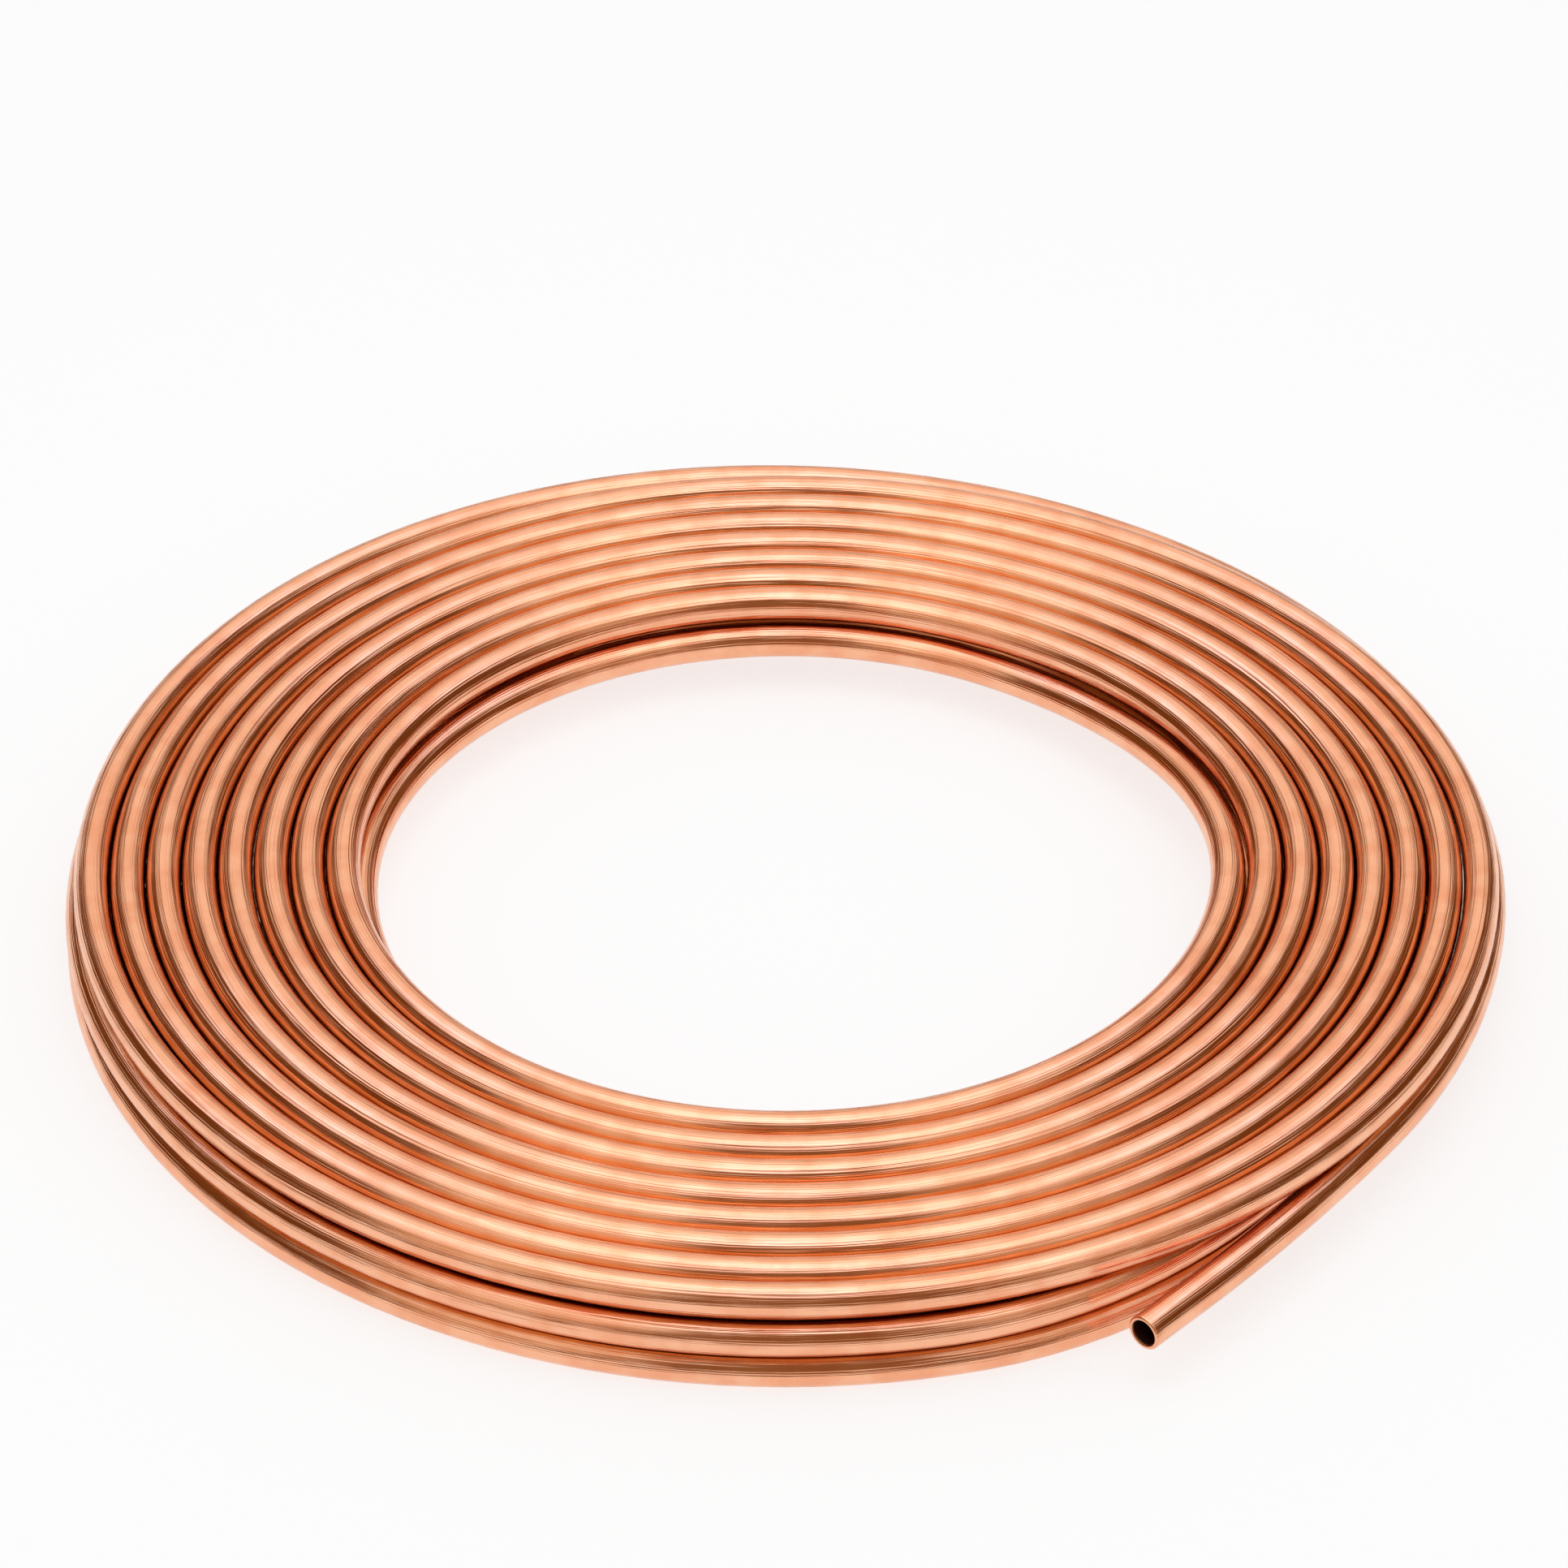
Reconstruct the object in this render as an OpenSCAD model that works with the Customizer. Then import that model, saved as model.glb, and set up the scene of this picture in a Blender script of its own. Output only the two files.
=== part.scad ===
// Coil of round copper tube: three flat layers of turns round an open bore, with one free end.
// Millimetres. The coil lies on z = 0 with its axis on Z, and the tip of the free end points along -X.

/* [Tube] */
// Outside diameter of the tube
tube_od = 22.2; // [12:0.1:26]
// Wall thickness of the tube
tube_wall = 3; // [1:0.1:4]

/* [Winding] */
// Clear bore through the coil, at the inner end of the middle layer
bore_d = 498; // [300:1:900]
// Turns in the top layer
top_turns = 8; // [6:1:10]
// Turns in the middle layer
middle_turns = 8; // [6:1:10]
// Turns in the bottom layer
bottom_turns = 7; // [5:1:9]
// How far the top layer's innermost turn sits back from the bore
top_set_back = 19; // [8:0.5:30]
// How far the bottom layer's innermost turn sits back from the bore
bottom_set_back = 49; // [30:0.5:56]
// Gap between neighbouring turns of one layer
turn_gap = 0.3; // [0.2:0.1:1.5]
// Gap between one layer and the next
layer_gap = 0.6; // [0.2:0.1:2]
// Depth of the groove between two turns
groove_depth = 7; // [3:0.5:9]

/* [Free end] */
// Bend radius of the free end, along the middle of the tube
lead_bend_r = 1450; // [900:10:2400]
// Angle through which the free end bends
lead_bend = 8; // [6:1:16]
// Straight length at the tip, for a fitting
tip_length = 40; // [15:1:80]
// How much smaller the sized tip is than the rest of the tube, across its diameter
tip_undersize = 0.1; // [0.1:0.05:0.4]

/* [Hidden] */

$fn = 96;
tube_r = tube_od / 2;
tube_bore_r = tube_r - tube_wall;
turn_pitch = tube_od + turn_gap;
layer_pitch = tube_od + layer_gap;
// Height of the solid band that joins the turns of a layer, between its two grooved faces
band_h = tube_od - 2 * groove_depth;

// Each layer, from the floor up: turns, radius of its innermost turn, height of its turns.
// The middle layer's innermost turn runs in by one more pitch, to the bore
first_turn_r = bore_d / 2 + tube_r;
BOTTOM = [bottom_turns, first_turn_r + bottom_set_back, tube_r];
MIDDLE = [middle_turns, first_turn_r + turn_pitch, tube_r + layer_pitch];
TOP = [top_turns, first_turn_r + top_set_back, tube_r + 2 * layer_pitch];
LAYERS = [BOTTOM, MIDDLE, TOP];

function inner_r(layer) = layer[1];
function outer_r(layer) = layer[1] + (layer[0] - 1) * turn_pitch;
function height(layer) = layer[2];

// The free end leaves the middle layer's outermost turn at the angle that makes its tip point along -X
lead_start_angle = lead_bend - 90;
// The free end is hollow from this angle of its bend on
lead_hollow_from = 1;
// The sized tip starts this far back on the bend
tip_grip = tube_od / 10;
tip_r = tube_r - tip_undersize / 2;

// Section through one layer: its round turns, joined by a band at half height
module layer_section(layer, shift = 0) {
    translate([shift, 0]) {
        for (turn = [0 : layer[0] - 1])
            translate([inner_r(layer) + turn * turn_pitch, height(layer)]) circle(tube_r);
        translate([inner_r(layer), height(layer) - band_h / 2])
            square([outer_r(layer) - inner_r(layer), band_h]);
    }
}

// The bottom and top layers, and the solid inside of the coil that joins all three layers
module outer_layers() {
    inside = max([for (layer = LAYERS) inner_r(layer)]);
    outside = min([for (layer = LAYERS) outer_r(layer)]) - turn_pitch;
    rotate_extrude() {
        layer_section(BOTTOM);
        layer_section(TOP);
        translate([inside, height(BOTTOM)]) square([outside - inside, height(TOP) - height(BOTTOM)]);
    }
}

// The middle layer is one spiral in half turns. The half after the free end is round the coil's axis,
// and the other half is moved over by half a pitch, so that each turn runs on into the next one in
module middle_layer() {
    rotate_extrude(angle = 180) layer_section(MIDDLE);
    translate([-turn_pitch / 2, 0, 0]) rotate([0, 0, 180])
        rotate_extrude(angle = 180) layer_section(MIDDLE, -turn_pitch / 2);
}

// Round rod of one radius along the free end's bend, from an angle on
module lead_rod(r, from = 0) {
    translate([-lead_bend_r, 0, 0]) rotate([0, 0, -from])
        rotate_extrude(angle = from - lead_bend) translate([lead_bend_r, 0]) circle(r);
}

// Straight tip with a rounded lip
module tip() {
    lip_r = tube_wall / 2;
    lip = [for (a = [0 : 30 : 180]) [tip_r - lip_r + lip_r * cos(a), tip_length - lip_r + lip_r * sin(a)]];
    translate([-lead_bend_r, 0, 0]) rotate([0, 0, -lead_bend]) translate([lead_bend_r, 0, 0])
        rotate([90, 0, 0]) rotate_extrude()
            polygon(concat([[tip_r - tube_wall, -tip_grip], [tip_r, -tip_grip]], lip));
}

// Free end of the tube: it leaves the middle layer's outermost turn and runs along -Y
module free_end() {
    translate([outer_r(MIDDLE), 0, height(MIDDLE)]) {
        difference() {
            lead_rod(tube_r);
            lead_rod(tube_bore_r, lead_hollow_from);
        }
        tip();
    }
}

module tube_coil() {
    color([0.80, 0.47, 0.32]) union() {
        outer_layers();
        rotate([0, 0, lead_start_angle]) {
            middle_layer();
            free_end();
        }
    }
}

tube_coil();
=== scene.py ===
"""Coil of bright copper tube lying flat on a pale floor.

One long tube is wound in three flat layers round an open bore. From its free end it climbs along the
outside of the coil, runs inward through the top layer, drops into the bore for part of a turn, drops on
to the floor, runs outward through the bottom layer, climbs at the back, and runs inward through the
middle layer to its hidden end. Lengths are in metres and angles in degrees. A winding angle is counted
from the joint, the place where the free end leaves the coil, and goes on growing from turn to turn.
"""

import math

import bmesh
import bpy
from mathutils import Matrix, Vector
from mathutils.kdtree import KDTree


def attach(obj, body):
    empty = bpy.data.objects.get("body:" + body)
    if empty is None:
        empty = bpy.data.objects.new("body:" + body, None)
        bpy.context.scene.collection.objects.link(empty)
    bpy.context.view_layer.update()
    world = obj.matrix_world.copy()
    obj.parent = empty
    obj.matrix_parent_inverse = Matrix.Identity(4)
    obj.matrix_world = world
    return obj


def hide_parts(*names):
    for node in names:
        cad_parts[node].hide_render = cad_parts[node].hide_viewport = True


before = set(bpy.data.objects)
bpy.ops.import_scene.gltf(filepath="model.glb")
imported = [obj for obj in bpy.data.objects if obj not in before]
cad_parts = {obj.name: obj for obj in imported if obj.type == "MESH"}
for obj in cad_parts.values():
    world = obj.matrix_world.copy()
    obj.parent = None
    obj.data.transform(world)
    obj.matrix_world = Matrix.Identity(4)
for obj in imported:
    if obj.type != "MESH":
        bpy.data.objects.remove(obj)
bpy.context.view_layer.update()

MM = 0.001
UP = Vector((0, 0, 1))
TURN = 360

# The tube
TUBE_R = 11.1 * MM
TUBE_WALL = 3.0 * MM
LIP_R = TUBE_WALL / 2
BORE_R = TUBE_R - TUBE_WALL
BORE_DEPTH = 90 * MM

# The free end, as it leaves the coil at the middle layer's height
LEAD_R = 440.1 * MM
LEAD_BEND_R = 1450 * MM
LEAD_BEND = 8
LEAD_BOW = 3 * MM
TIP_LENGTH = 40 * MM
JOINT_ANGLE = LEAD_BEND - 90

# The three layers, and the one ring of tube that lies lower in the bore
TURN_PITCH = 22.5 * MM
LAYER_PITCH = 22.8 * MM
TOP_OUTER_R = 436.6 * MM
TOP_TURNS = 8
RING_R = 269.1 * MM
BOTTOM_INNER_R = 308.5 * MM
BOTTOM_TURNS = 6
MIDDLE_OUTER_R = 440 * MM
MIDDLE_PITCH = 24.66 * MM
MIDDLE_TURNS = 7

# How far the two lower layers bulge out on the side away from the free end
BOTTOM_BULGE = 22 * MM
MIDDLE_BULGE = 3 * MM
BULGE_RISE = (130, 70)
BULGE_FALL = (320, 40)

# The winding angles at which the top layer and then the bottom layer have all their turns
TOP_DONE = TOP_TURNS * TURN
BOTTOM_DONE = TOP_DONE + BOTTOM_TURNS * TURN

# Where each change of lane starts, as a winding angle, and how far round it takes
LEAD_BOW_OUT = (15, 25)
LEAD_BOW_IN = (60, 40)
LEAD_CLIMB = (10, 180)
TOP_ENTRY = (60, 100)
TOP_STEP = (TURN + 30, 75)
RING_DROP = (TOP_DONE + 20, 75)
RING_ENTRY = (TOP_DONE + 20, 62)
BOTTOM_DROP = (TOP_DONE + 300, 70)
BOTTOM_ENTRY = (TOP_DONE + 330, 80)
BOTTOM_STEP = (TOP_DONE + TURN + 130, 70)
MIDDLE_CLIMB = (BOTTOM_DONE + 100, 70)
MIDDLE_ENTRY = (BOTTOM_DONE + 80, 50)
MIDDLE_STEP = (BOTTOM_DONE + 318, 41)
WINDING_END = BOTTOM_DONE + (MIDDLE_TURNS - 1) * TURN + 290

# The mesh: sides of the tube, degrees of winding from ring to ring, and steps along the free end
RING_SIDES = 28
RING_EVERY = 2.5
LIP_SEGMENTS = 8
TIP_STEPS = 6
BEND_STEPS = 30
WELD = 0.001 * MM

# The painted shade in the grooves between turns: the gap to the next turn at which the painted shade ends,
# the steps of winding in which turns are looked for, and the length of tube on both sides that counts as
# the same turn
GROOVE_SHADE_REACH = 6 * MM
GROOVE_EVERY = 0.5
OWN_STRETCH = 80 * MM

# The copper's colours
CLEAN_COPPER = (0.975, 0.50, 0.305, 1)
DULL_COPPER = (0.92, 0.41, 0.23, 1)
# Painted shade in the grooves between turns: browner at their edges, nearly black at their bottoms
GROOVE_EDGE_PAINTED_SHADE = (0.62, 0.25, 0.05, 1)
GROOVE_BOTTOM_PAINTED_SHADE = (0.18, 0.06, 0.012, 1)
# Painted shade in the bore of both ends
BORE_PAINTED_SHADE = (0.16, 0.05, 0.015, 1)

# The copper's patterns: how often they change round the tube and along it, or from place to place
DRAW_LINES = (9, 9, 4)
SKIN_WAVES = (1.2, 1.2, 14)
BLOTCHES = 42

# The camera. The two framing values are pixels of the photo
PHOTO_SIZE = 1932
SENSOR_WIDTH = 36
VIEW_AZIMUTH = -47
VIEW_ELEVATION = 36.34
VIEW_DISTANCE = 4.05
VIEW_LENS = 147.5
AIM_HEIGHT = 56.7 * MM
FRAME_RIGHT = -2.9
FRAME_UP = 83.1

# The floor, the overhead lamp and the plain light that falls on the floor
FLOOR_REACH = 30
FLOOR_PAINT = (0.42, 0.42, 0.42, 1)
FLOOR_GLOW = 0.74
FLOOR_LIGHT = (0.5, 0.5, 0.5, 1)
SOFTBOX_WIDTH = 1.7
SOFTBOX_DEPTH = 1.4
SOFTBOX_HEIGHT = 2.0
SOFTBOX_POWER = 4

# The room that the copper reflects: its colour low down and high up, and the elevations between them
WHITE = (1, 1, 1, 1)
ROOM_LOW = (0.155, 0.066, 0.018, 1)
ROOM_HIGH = (1.0, 0.95, 0.91, 1)
ROOM_RISE = (40, 56)
CAMERA_SIDE = (0.27, 0.15, 0.07)

# Panels round the coil: azimuth and elevation of the middle, how far their core and edge reach, and colour
STUDIO_PANELS = [
    (180, 40, 9, 40, (1.0, 0.92, 0.85)),
    (-42, 34, 10, 28, (0.80, 0.65, 0.51)),
    (46, 32, 8, 26, (0.62, 0.47, 0.35)),
    (4, 12, 10, 24, CAMERA_SIDE),
    (4, 36, 10, 24, CAMERA_SIDE),
    (4, 57, 8, 19, CAMERA_SIDE),
    (0, 90, 10, 32, (1.22, 1.2, 1.33)),
    (0, 90, 3, 9, (1.75, 1.8, 2.4)),
    (-141, 53, 7, 19, (1.35, 1.37, 1.6)),
    (-141, 53, 2, 9, (1.7, 1.8, 2.5)),
    (141, 55, 6, 17, (1.3, 1.3, 1.52)),
    (141, 55, 2, 9, (1.65, 1.75, 2.4)),
]


def eased(angle, change):
    """0 before a change of lane, 1 after it, and a smooth run between."""
    start, length = change
    part = min(max((angle - start) / length, 0), 1)
    return part * part * (3 - 2 * part)


def steps(angle, change, count):
    """How many changes of lane are done, when the same one comes once a turn."""
    start, length = change
    return sum(eased(angle, (start + turn * TURN, length)) for turn in range(count))


def polar(radius, angle, height=0):
    """A point at a distance from the axis, an angle round it and a height."""
    turned = math.radians(angle)
    return Vector((radius * math.cos(turned), radius * math.sin(turned), height))


def winding_radius(angle):
    """Distance of the tube from the coil's axis at one winding angle."""
    on_bottom = eased(angle, BOTTOM_ENTRY)
    on_middle = eased(angle, MIDDLE_ENTRY)
    top_inner_r = TOP_OUTER_R - (TOP_TURNS - 1) * TURN_PITCH
    bottom_outer_r = BOTTOM_INNER_R + (BOTTOM_TURNS - 1) * TURN_PITCH
    radius = LEAD_R + LEAD_BOW * (eased(angle, LEAD_BOW_OUT) - eased(angle, LEAD_BOW_IN))
    radius += (TOP_OUTER_R - LEAD_R) * eased(angle, TOP_ENTRY)
    radius -= TURN_PITCH * steps(angle, TOP_STEP, TOP_TURNS - 1)
    radius -= (top_inner_r - RING_R) * eased(angle, RING_ENTRY)
    radius += (BOTTOM_INNER_R - RING_R) * on_bottom
    radius += TURN_PITCH * steps(angle, BOTTOM_STEP, BOTTOM_TURNS - 1)
    radius += (MIDDLE_OUTER_R - bottom_outer_r) * on_middle
    radius -= MIDDLE_PITCH * steps(angle, MIDDLE_STEP, MIDDLE_TURNS - 1)
    bulge = BOTTOM_BULGE * on_bottom * (1 - on_middle)
    bulge += MIDDLE_BULGE * on_middle
    return radius + bulge * (eased(angle % TURN, BULGE_RISE) - eased(angle % TURN, BULGE_FALL))


def winding_point(angle):
    """Middle of the tube at one winding angle."""
    layers_up = 1 + eased(angle, LEAD_CLIMB) - eased(angle, RING_DROP)
    layers_up += eased(angle, MIDDLE_CLIMB) - eased(angle, BOTTOM_DROP)
    return polar(winding_radius(angle), JOINT_ANGLE + angle, TUBE_R + LAYER_PITCH * layers_up)


def tube_route(every):
    """Middle line of the whole tube, from the mouth of the free end to the inner end, with the winding
    in steps of one angle."""
    lead_height = TUBE_R + LAYER_PITCH
    bend_centre = polar(LEAD_R - LEAD_BEND_R, JOINT_ANGLE, lead_height)
    bend_end = bend_centre + polar(LEAD_BEND_R, JOINT_ANGLE - LEAD_BEND)
    straight = TIP_LENGTH - LIP_R
    route = [bend_end - Vector((straight * (1 - i / TIP_STEPS), 0, 0)) for i in range(TIP_STEPS)]
    for i in range(BEND_STEPS):
        route.append(bend_centre + polar(LEAD_BEND_R, JOINT_ANGLE - LEAD_BEND * (1 - i / BEND_STEPS)))
    for i in range(round(WINDING_END / every) + 1):
        route.append(winding_point(i * every))
    return route


def runs_along(route):
    """Distance along the tube of each point of its route."""
    runs = [0.0]
    for before, point in zip(route, route[1:]):
        runs.append(runs[-1] + (point - before).length)
    return runs


class Grooves:
    """Finds how near one place on the tube's skin is to another turn."""

    def __init__(self):
        route = tube_route(GROOVE_EVERY)
        self.runs = runs_along(route)
        self.tree = KDTree(len(route))
        for i, point in enumerate(route):
            self.tree.insert(point, i)
        self.tree.balance()

    def nearness(self, point, run):
        """1 where two turns touch, and 0 clear of the groove between them."""
        # The painted shade of the groove reaches this far beyond the skin
        reach = TUBE_R + GROOVE_SHADE_REACH
        near = self.tree.find_range(point, reach)
        others = [distance for _, i, distance in near if abs(self.runs[i] - run) > OWN_STRETCH]
        gap = min(others, default=reach) - TUBE_R
        return 1 - max(gap, 0) / GROOVE_SHADE_REACH


def standing_on(route, i):
    """Place and heading at one point of the route: Z runs on along the tube, and Y is up."""
    ahead = (route[min(i + 1, len(route) - 1)] - route[max(i - 1, 0)]).normalized()
    left = UP.cross(ahead).normalized()
    axes = Matrix((left, ahead.cross(left), ahead)).transposed()
    return Matrix.Translation(route[i]) @ axes.to_4x4()


def tube_sections(route):
    """Each ring of the tube's skin as its place, radius and distance along the tube: out of the bore at the
    free end, over the lip, along the outside, over the lip of the inner end and back into its bore."""
    places = [standing_on(route, i) for i in range(len(route))]
    runs = runs_along(route)
    lip_angles = [180 - 180 * i / LIP_SEGMENTS for i in range(LIP_SEGMENTS + 1)]

    def lip(place, run, outward):
        rings = []
        for angle in lip_angles:
            bulge = outward * LIP_R * math.sin(math.radians(angle))
            radius = TUBE_R - LIP_R + LIP_R * math.cos(math.radians(angle))
            rings.append((place @ Matrix.Translation((0, 0, bulge)), radius, run + bulge))
        return rings

    into_tip = [i for i in range(1, len(route)) if runs[i] < BORE_DEPTH]
    into_end = [i for i in range(len(route) - 1) if runs[-1] - runs[i] < BORE_DEPTH]
    sections = [(places[i], BORE_R, runs[i]) for i in reversed(into_tip)]
    sections += lip(places[0], runs[0], -1)
    sections += [(places[i], TUBE_R, runs[i]) for i in range(1, len(route) - 1)]
    sections += reversed(lip(places[-1], runs[-1], 1))
    sections += [(places[i], BORE_R, runs[i]) for i in reversed(into_end)]
    return sections


def tube_mesh():
    """The tube's skin: a flat grid with a row for each section, rolled up round the tube's route."""
    sections = tube_sections(tube_route(RING_EVERY))
    grooves = Grooves()
    rows = len(sections) - 1
    bm = bmesh.new()
    along = bm.verts.layers.float_vector.new("along_tube")
    groove = bm.verts.layers.float.new("groove")
    inside = bm.verts.layers.float.new("inside")
    bmesh.ops.create_grid(bm, x_segments=RING_SIDES, y_segments=rows, size=0.5)
    for vert in bm.verts:
        side = round((vert.co.x + 0.5) * RING_SIDES) % RING_SIDES
        place, radius, run = sections[round((vert.co.y + 0.5) * rows)]
        around = polar(1, TURN * side / RING_SIDES)
        vert.co = place @ (around * radius)
        vert[along] = Vector((around.x, around.y, run))
        vert[groove] = grooves.nearness(vert.co, run)
        vert[inside] = 1.0 if radius < BORE_R + LIP_R / 2 else 0.0
    bmesh.ops.remove_doubles(bm, verts=bm.verts, dist=WELD)
    bmesh.ops.holes_fill(bm, edges=[edge for edge in bm.edges if edge.is_boundary], sides=0)
    bmesh.ops.recalc_face_normals(bm, faces=bm.faces)
    mesh = bpy.data.meshes.new("copper_tube")
    bm.to_mesh(mesh)
    bm.free()
    mesh.polygons.foreach_set("use_smooth", [True] * len(mesh.polygons))
    return mesh


class Wire:
    """A shader socket. A sum or a product with it adds a Math node to its tree."""

    def __init__(self, bench, socket):
        self.bench = bench
        self.socket = socket

    def math(self, operation, first, second):
        return self.bench.node("ShaderNodeMath", {"operation": operation}, {0: first, 1: second})

    def __add__(self, other):
        return self.math("ADD", self, other)

    def __radd__(self, other):
        return self.math("ADD", other, self)

    def __mul__(self, other):
        return self.math("MULTIPLY", self, other)

    def __rmul__(self, other):
        return self.math("MULTIPLY", other, self)


class Bench:
    """The node tree of one material or of the world."""

    def __init__(self, tree):
        self.tree = tree
        tree.nodes.clear()

    def node(self, kind, settings=None, inputs=None, output=0):
        """A new node with its settings, then the values or links of its sockets. Gives one output."""
        made = self.tree.nodes.new(kind)
        for name, value in (settings or {}).items():
            setattr(made, name, value)
        for name, value in (inputs or {}).items():
            if isinstance(value, Wire):
                self.tree.links.new(value.socket, made.inputs[name])
            else:
                made.inputs[name].default_value = value
        return Wire(self, made.outputs[output]) if made.outputs else made

    def mixed(self, part, first, second):
        """Two colours, mixed by a value. A Mix node's colour sockets have names that others share, so
        they go by number."""
        return self.node("ShaderNodeMix", {"data_type": "RGBA"}, {0: part, 6: first, 7: second}, 2)

    def between(self, value, low, high):
        """0 below low, 1 above high, and smooth between."""
        ends = {"Value": value, "From Min": low, "From Max": high}
        return self.node("ShaderNodeMapRange", {"interpolation_type": "SMOOTHSTEP"}, ends)

    def towards(self, direction, vector):
        """How far a vector runs along a direction."""
        return self.node("ShaderNodeVectorMath", {"operation": "DOT_PRODUCT"}, {0: vector, 1: direction}, 1)

    def stretched(self, vector, scale):
        """A vector with its own scale for each axis."""
        return self.node("ShaderNodeMapping", None, {"Vector": vector, "Scale": scale})

    def noise(self, vector, scale, detail):
        """A cloudy pattern of values round 0.5."""
        return self.node("ShaderNodeTexNoise", None, {"Vector": vector, "Scale": scale, "Detail": detail})


def bright_copper():
    """Drawn copper: fine lines along the tube, faint blotches, and a skin that isn't quite even. It has
    painted shade in the grooves between turns, browner at their edges and nearly black at their bottoms,
    and in the bore it is rougher, with painted shade."""
    material = bpy.data.materials.new("bright_copper")
    material.use_nodes = True
    bench = Bench(material.node_tree)
    along = bench.node("ShaderNodeAttribute", {"attribute_name": "along_tube"}, None, "Vector")
    place = bench.node("ShaderNodeTexCoord", None, None, "Object")
    groove = bench.node("ShaderNodeAttribute", {"attribute_name": "groove"}, None, "Fac")
    inside = bench.node("ShaderNodeAttribute", {"attribute_name": "inside"}, None, "Fac")
    draw_lines = bench.noise(bench.stretched(along, DRAW_LINES), 1, 3)
    blotches = bench.noise(place, BLOTCHES, 4)
    waves = bench.noise(bench.stretched(along, SKIN_WAVES), 1, 2)
    base = bench.mixed(bench.between(blotches, 0.35, 0.7), CLEAN_COPPER, DULL_COPPER)
    # Painted shade in the grooves: browner near another turn, nearly black where two turns touch
    base = bench.mixed(0.55 * bench.between(groove, 0.15, 0.55), base, GROOVE_EDGE_PAINTED_SHADE)
    base = bench.mixed(0.8 * bench.between(groove, 0.58, 0.94), base, GROOVE_BOTTOM_PAINTED_SHADE)
    # Painted shade in the bore
    base = bench.mixed(0.8 * inside, base, BORE_PAINTED_SHADE)
    roughness = 0.05 + 0.09 * draw_lines + 0.07 * blotches + 0.25 * inside
    skin = bench.node("ShaderNodeBump", None, {"Strength": 0.16, "Distance": 3 * MM, "Height": waves})
    fine = {"Strength": 0.45, "Distance": 1 * MM, "Height": draw_lines, "Normal": skin}
    bump = bench.node("ShaderNodeBump", None, fine)
    copper = {"Base Color": base, "Metallic": 1.0, "Roughness": roughness, "Normal": bump}
    surface = bench.node("ShaderNodeBsdfPrincipled", None, copper)
    bench.node("ShaderNodeOutputMaterial", None, {"Surface": surface})
    return material


def pale_floor():
    """Grey paint that takes the shadow, with a glow that the camera and the copper see as white."""
    material = bpy.data.materials.new("pale_floor")
    material.use_nodes = True
    bench = Bench(material.node_tree)
    camera_ray = bench.node("ShaderNodeLightPath", None, None, "Is Camera Ray")
    glossy_ray = bench.node("ShaderNodeLightPath", None, None, "Is Glossy Ray")
    paint = bench.node("ShaderNodeBsdfDiffuse", None, {"Color": FLOOR_PAINT})
    glow = bench.node("ShaderNodeEmission", None, {"Strength": FLOOR_GLOW * (camera_ray + glossy_ray)})
    both = bench.node("ShaderNodeAddShader", None, {0: paint, 1: glow})
    bench.node("ShaderNodeOutputMaterial", None, {"Surface": both})
    return material


def add_floor():
    """One wide flat floor, under the coil."""
    bm = bmesh.new()
    bmesh.ops.create_grid(bm, x_segments=1, y_segments=1, size=FLOOR_REACH)
    mesh = bpy.data.meshes.new("floor")
    bm.to_mesh(mesh)
    bm.free()
    mesh.materials.append(pale_floor())
    floor = bpy.data.objects.new("floor", mesh)
    bpy.context.scene.collection.objects.link(floor)


def studio_direction(azimuth, elevation):
    """A direction in the studio: azimuth 0 is towards the camera, and it grows to the camera's right."""
    level = math.radians(VIEW_AZIMUTH + azimuth)
    rise = math.radians(elevation)
    return Vector((math.sin(level) * math.cos(rise), -math.cos(level) * math.cos(rise), math.sin(rise)))


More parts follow.
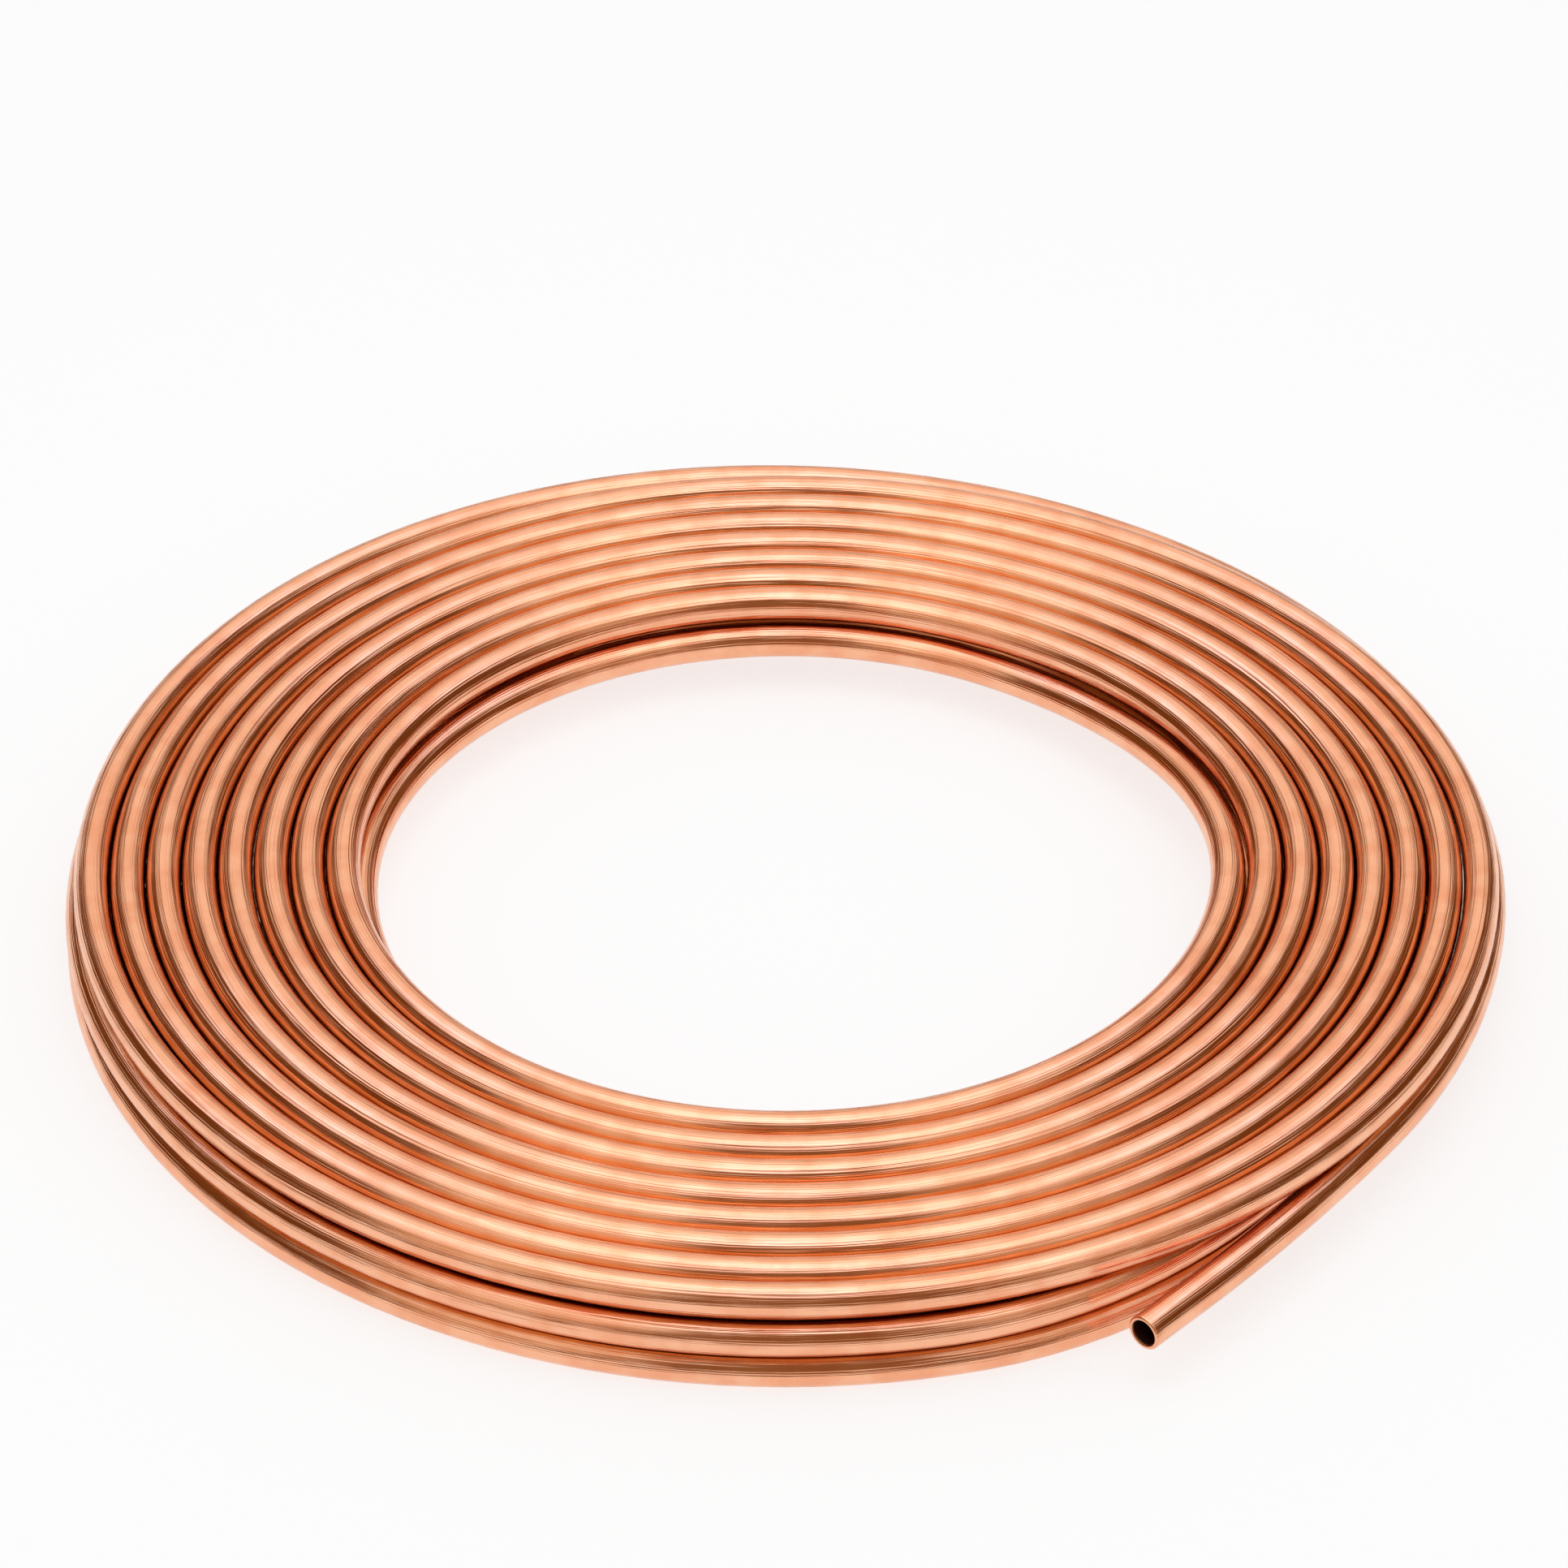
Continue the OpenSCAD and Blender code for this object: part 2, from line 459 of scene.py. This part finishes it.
def add_world():
    """White for the camera, and plain grey light on the floor. The copper reflects a room that is dark low
    down and bright above, with panels round it and a dark side where the camera stands."""
    world = bpy.data.worlds.new("studio")
    bpy.context.scene.world = world
    world.use_nodes = True
    bench = Bench(world.node_tree)
    look = bench.node("ShaderNodeTexCoord", None, None, "Generated")
    camera_ray = bench.node("ShaderNodeLightPath", None, None, "Is Camera Ray")
    glossy_ray = bench.node("ShaderNodeLightPath", None, None, "Is Glossy Ray")
    rise_start, rise_end = [math.sin(math.radians(elevation)) for elevation in ROOM_RISE]
    above = bench.between(bench.towards(UP, look), rise_start, rise_end)
    room = bench.mixed(above, ROOM_LOW, ROOM_HIGH)
    for azimuth, elevation, core, edge, colour in STUDIO_PANELS:
        facing = bench.towards(studio_direction(azimuth, elevation), look)
        seen = bench.between(facing, math.cos(math.radians(edge)), math.cos(math.radians(core)))
        room = bench.mixed(seen, room, (*colour, 1))
    room = bench.mixed(glossy_ray, FLOOR_LIGHT, room)
    room = bench.mixed(camera_ray, room, WHITE)
    light = bench.node("ShaderNodeBackground", None, {"Color": room, "Strength": 1.0})
    bench.node("ShaderNodeOutputWorld", None, {"Surface": light})


def add_softbox():
    """A wide, weak lamp over the coil."""
    lamp = bpy.data.lights.new("overhead_softbox", "AREA")
    lamp.shape = "RECTANGLE"
    lamp.size = SOFTBOX_WIDTH
    lamp.size_y = SOFTBOX_DEPTH
    lamp.energy = SOFTBOX_POWER
    turned = Matrix.Rotation(math.radians(VIEW_AZIMUTH), 4, "Z")
    box = bpy.data.objects.new("overhead_softbox", lamp)
    box.matrix_world = Matrix.Translation(UP * SOFTBOX_HEIGHT) @ turned
    bpy.context.scene.collection.objects.link(box)


def add_camera():
    """The photo's view. It aims at a point on the coil's axis, and the frame is then shifted to fit."""
    away = studio_direction(0, VIEW_ELEVATION)
    turned = away.to_track_quat("Z", "Y").to_matrix().to_4x4()
    lens = bpy.data.cameras.new("photo_view")
    lens.lens = VIEW_LENS
    lens.sensor_width = SENSOR_WIDTH
    lens.shift_x = FRAME_RIGHT / PHOTO_SIZE
    lens.shift_y = FRAME_UP / PHOTO_SIZE
    camera = bpy.data.objects.new("photo_view", lens)
    camera.matrix_world = Matrix.Translation(UP * AIM_HEIGHT + VIEW_DISTANCE * away) @ turned
    bpy.context.scene.collection.objects.link(camera)
    bpy.context.scene.camera = camera


def add_tube():
    """The whole coil: one piece, in place of the CAD node."""
    mesh = tube_mesh()
    mesh.materials.append(bright_copper())
    tube = bpy.data.objects.new("copper_tube", mesh)
    bpy.context.scene.collection.objects.link(tube)
    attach(tube, "root")
    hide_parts("tube_coil")


bpy.context.scene.view_settings.view_transform = "Standard"
add_camera()
add_floor()
add_world()
add_softbox()
add_tube()
